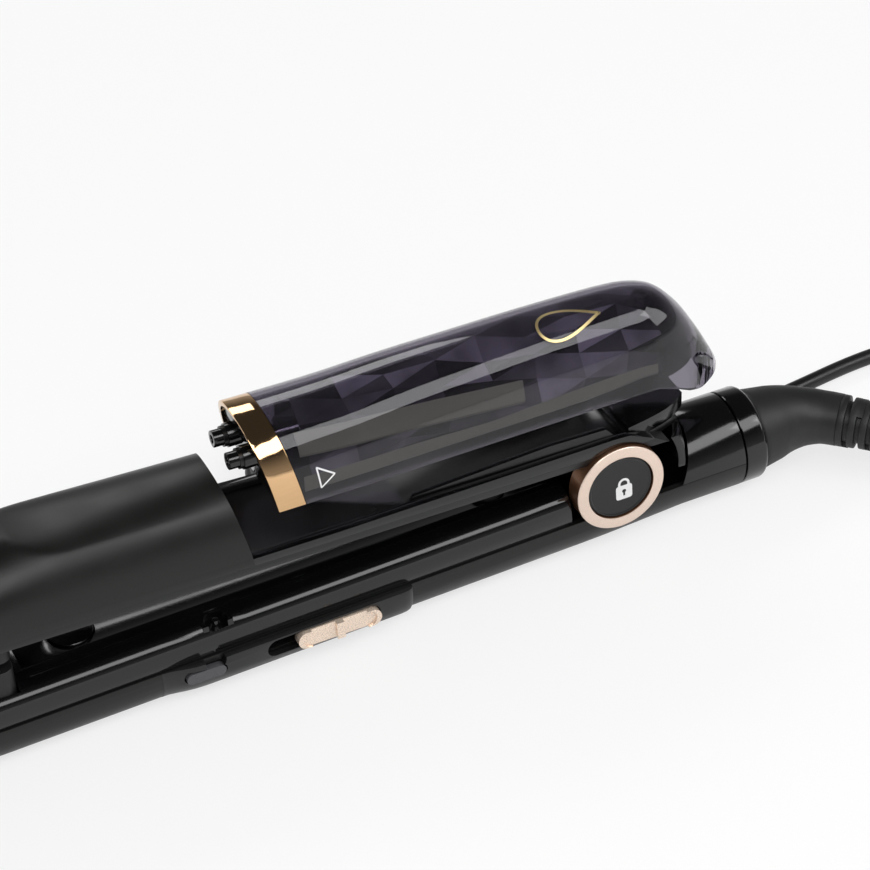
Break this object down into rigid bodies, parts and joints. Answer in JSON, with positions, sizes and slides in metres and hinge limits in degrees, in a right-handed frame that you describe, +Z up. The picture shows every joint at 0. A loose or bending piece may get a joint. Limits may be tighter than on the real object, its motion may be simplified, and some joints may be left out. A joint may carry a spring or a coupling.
{
  "type": "steam hair straightener",
  "caption": "Hinged flat iron with facing heating plates, steam outlets, a lift-off water tank, sliding steam switch, lock knob at the hinge and swivelling mains cord.",
  "frame": {"origin": "on the table under the hinge axis, in the middle of the lower arm's flat sole", "axes": "+X along the arms toward the cord, +Y away from the lock knob, +Z up"},
  "size_m": [0.4413, 0.1342, 0.0757],
  "materials": {
    "front_cover": "fine satin moulded, very dark grey",
    "gloss_black": "polished piano black",
    "satin_black": "satin moulded black",
    "rose_gloss": "metallised rose gold, polished",
    "lamp_lens": "smoked lens over the lamps",
    "carrier_black": "heat resistant moulded plastic",
    "ceramic_coat": "ceramic coated, satin",
    "heater_ceramic": "sintered heater element",
    "board_green": "laminated circuit board",
    "inner_grey": "moulded inner housing",
    "iron_core": "laminated core",
    "silicone": "soft red silicone",
    "screw_steel": "plain steel",
    "cast_alloy": "die cast",
    "pipe_ptfe": "natural tube",
    "cutout_brass": "plain brass",
    "smoke_clear": "clear smoked plastic, polished",
    "violet_clear": "tinted faceted inner wall",
    "guard_rubber": "matt moulded rubber",
    "cord_sheath": "smooth vinyl sheath",
    "tie_strap": "rubber strap",
    "plug_moulding": "moulded vinyl",
    "pin_nickel": "nickel plated brass"
  },
  "bodies": {
    "lower_arm": {"lower_cover": "front_cover", "lower_inner_shell": "gloss_black", "inner_panel": "gloss_black", "switch_panel": "satin_black", "lamp_window": "lamp_lens", "stop_pad": "satin_black", "circuit_board": "board_green", "switch_body": "inner_grey", "transformer": "iron_core", "lower_carrier": "carrier_black", "plate_springs": "silicone", "lower_screws": "screw_steel", "hinge_pin": "screw_steel", "opening_spring": "screw_steel", "lock_ring": "rose_gloss", "lock_spring": "screw_steel", "hinge_cap": "gloss_black", "rear_tube_top": "gloss_black", "cord": "cord_sheath", "cord_hank": "cord_sheath", "cord_tail": "cord_sheath", "hank_tie": "tie_strap", "plug_body": "plug_moulding", "plug_pins": "pin_nickel"},
    "upper_arm": {"upper_cover": "front_cover", "upper_trim": "satin_black", "tank_bay": "satin_black", "inlet_seals": "silicone", "pump": "inner_grey", "steam_pipe": "pipe_ptfe", "steam_chamber": "cast_alloy", "upper_carrier": "carrier_black", "upper_plate": "ceramic_coat", "upper_heater": "heater_ceramic", "thermal_cutout": "cutout_brass", "hinge_barrel": "gloss_black", "upper_screws": "screw_steel"},
    "water_tank": {"tank_shell": "smoke_clear", "tank_collar": "rose_gloss", "tank_liner": "violet_clear", "tank_valve": "satin_black", "nozzle_seals": "silicone", "tank_pickup": "pipe_ptfe", "filler_plug": "satin_black"},
    "steam_switch": {"slide_switch": "rose_gloss"},
    "lock_button": {"lock_cap": "satin_black"},
    "on_button": {"power_button": "gloss_black"},
    "floating_plate": {"lower_plate": "ceramic_coat", "lower_heater": "heater_ceramic"},
    "cord_swivel": {"swivel_collar": "gloss_black", "cord_guard": "guard_rubber"}
  },
  "joints": [
    {"name": "arm_hinge", "type": "hinge", "parent": "lower_arm", "child": "upper_arm", "pos_m": [0, 0, 0.0224], "axis": [0, 1, 0], "range_deg": [0, 12], "stiffness_Nm_per_rad": 0.25, "springref_deg": 12.03},
    {"name": "lock_press", "type": "slide", "parent": "lower_arm", "child": "lock_button", "axis": [0, 1, 0], "range_m": [0, 0.0018], "stiffness_N_per_m": 900, "springref_m": -0.0005},
    {"name": "steam_slide", "type": "slide", "parent": "lower_arm", "child": "steam_switch", "axis": [-1, 0, 0], "range_m": [0, 0.008]},
    {"name": "power_press", "type": "slide", "parent": "lower_arm", "child": "on_button", "axis": [0, 0, -1], "range_m": [0, 0.0008], "stiffness_N_per_m": 700, "springref_m": -0.0004},
    {"name": "plate_float", "type": "slide", "parent": "lower_arm", "child": "floating_plate", "axis": [0, 0, -1], "range_m": [0, 0.0008], "stiffness_N_per_m": 3000, "springref_m": -0.0005},
    {"name": "tank_lift", "type": "slide", "parent": "upper_arm", "child": "water_tank", "axis": [0.0401, 0, 0.9992], "range_m": [-0.012, 0.03]},
    {"name": "cord_swivel", "type": "hinge", "parent": "lower_arm", "child": "cord_swivel", "pos_m": [0.0408, 0, 0.0135], "axis": [1, 0, 0], "range_deg": [-90, 90]}
  ]
}
